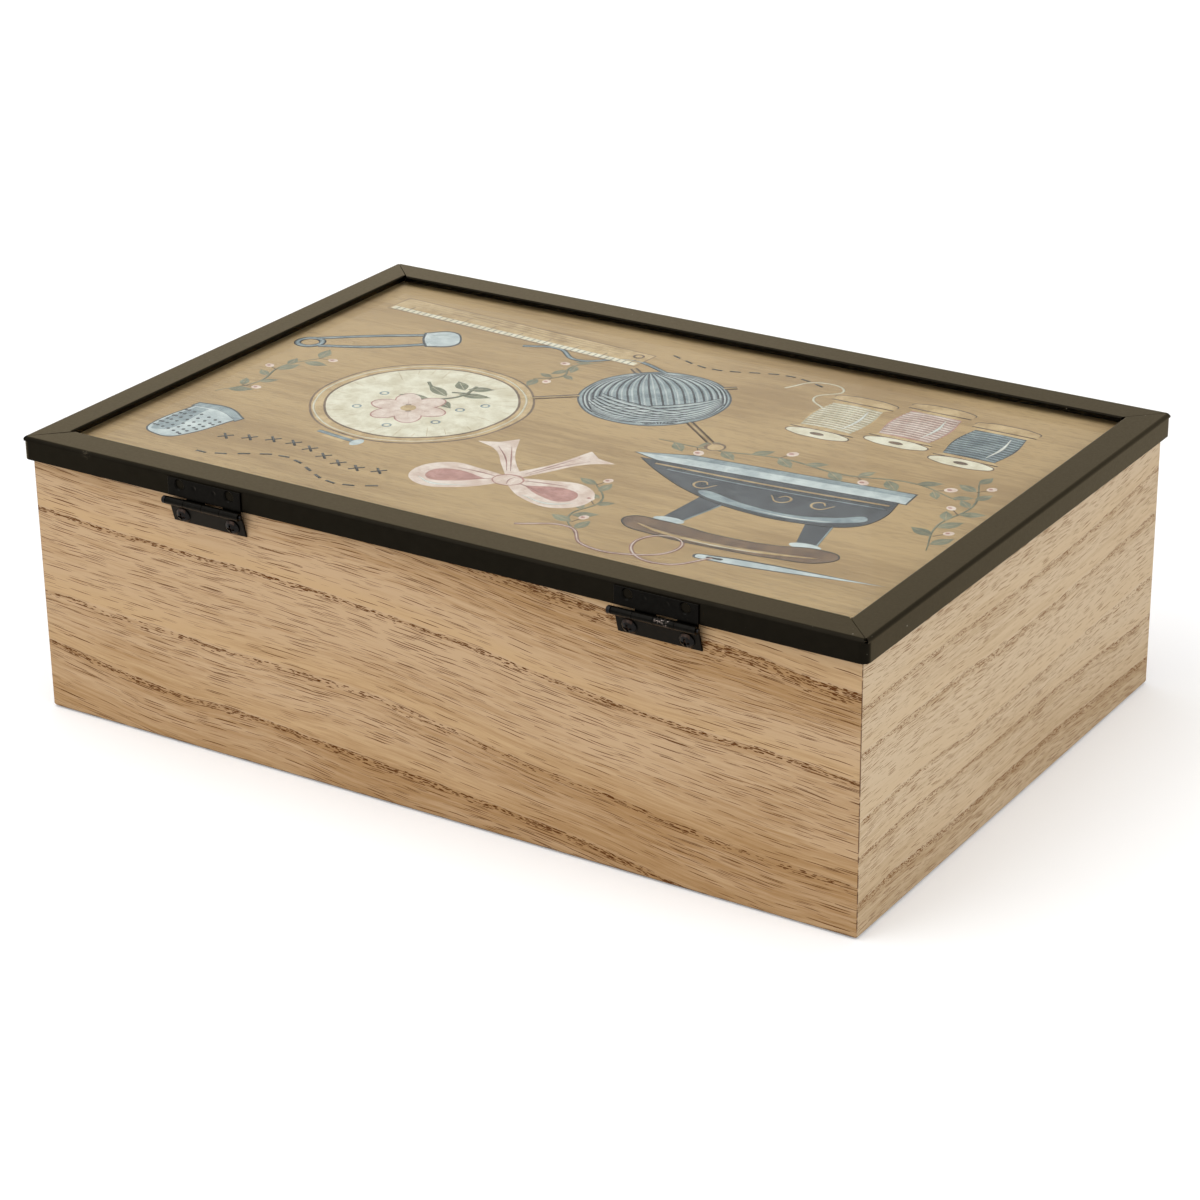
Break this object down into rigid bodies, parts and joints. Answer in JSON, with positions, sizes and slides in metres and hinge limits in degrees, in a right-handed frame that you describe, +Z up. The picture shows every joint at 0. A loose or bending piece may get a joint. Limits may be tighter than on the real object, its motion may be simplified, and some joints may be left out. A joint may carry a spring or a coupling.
{
  "type": "wooden sewing box",
  "caption": "Rectangular wooden sewing box with dividers inside and a hinged lid: a folded metal frame round a glazed printed panel, closed by a swing hook.",
  "frame": {"origin": "centre of the box's base, on the surface that it stands on", "axes": "+X along the hinge line, to the right as the user sees the box from its latch side; +Y to the back, where the hinges are; +Z up"},
  "size_m": [0.2588, 0.1806, 0.081],
  "materials": {
    "wall_veneer": "pale open-grained veneer, matt",
    "divider_board": "pale sanded board, matt",
    "bottom_hardboard": "plain pressed board",
    "frame_coat": "black coat, satin",
    "glass": "clear polished",
    "printed_face": "printed paper on board, matt",
    "tab_steel": "black coat, satin",
    "hinge_coat": "black coat, worn at the knuckles",
    "pin_steel": "dark drawn steel",
    "screw_coat": "black coat, brown in the recess",
    "latch_coat": "black coat, satin"
  },
  "bodies": {
    "box": {"back_wall": "wall_veneer", "front_wall": "wall_veneer", "left_wall": "wall_veneer", "right_wall": "wall_veneer", "bottom_board": "bottom_hardboard", "long_divider": "divider_board", "cross_divider_1": "divider_board", "cross_divider_2": "divider_board", "left_hinge_box_leaf": "hinge_coat", "right_hinge_box_leaf": "hinge_coat", "left_hinge_pin": "pin_steel", "right_hinge_pin": "pin_steel", "left_hinge_screws": "screw_coat", "right_hinge_screws": "screw_coat", "latch_stud": "latch_coat"},
    "lid": {"lid_frame": "frame_coat", "glass_pane": "glass", "printed_board": "printed_face", "board_tabs": "tab_steel", "left_hinge_lid_leaf": "hinge_coat", "right_hinge_lid_leaf": "hinge_coat", "latch_rivet": "latch_coat"},
    "hook": {"latch_hook": "latch_coat"}
  },
  "joints": [
    {"name": "lid_hinge", "type": "hinge", "parent": "box", "child": "lid", "pos_m": [0, 0.08874, 0.0734], "axis": [-1, 0, 0], "range_deg": [0, 180]},
    {"name": "latch_swing", "type": "hinge", "parent": "lid", "child": "hook", "pos_m": [0, -0.08815, 0.07725], "axis": [0, 1, 0], "range_deg": [0, 75]}
  ]
}
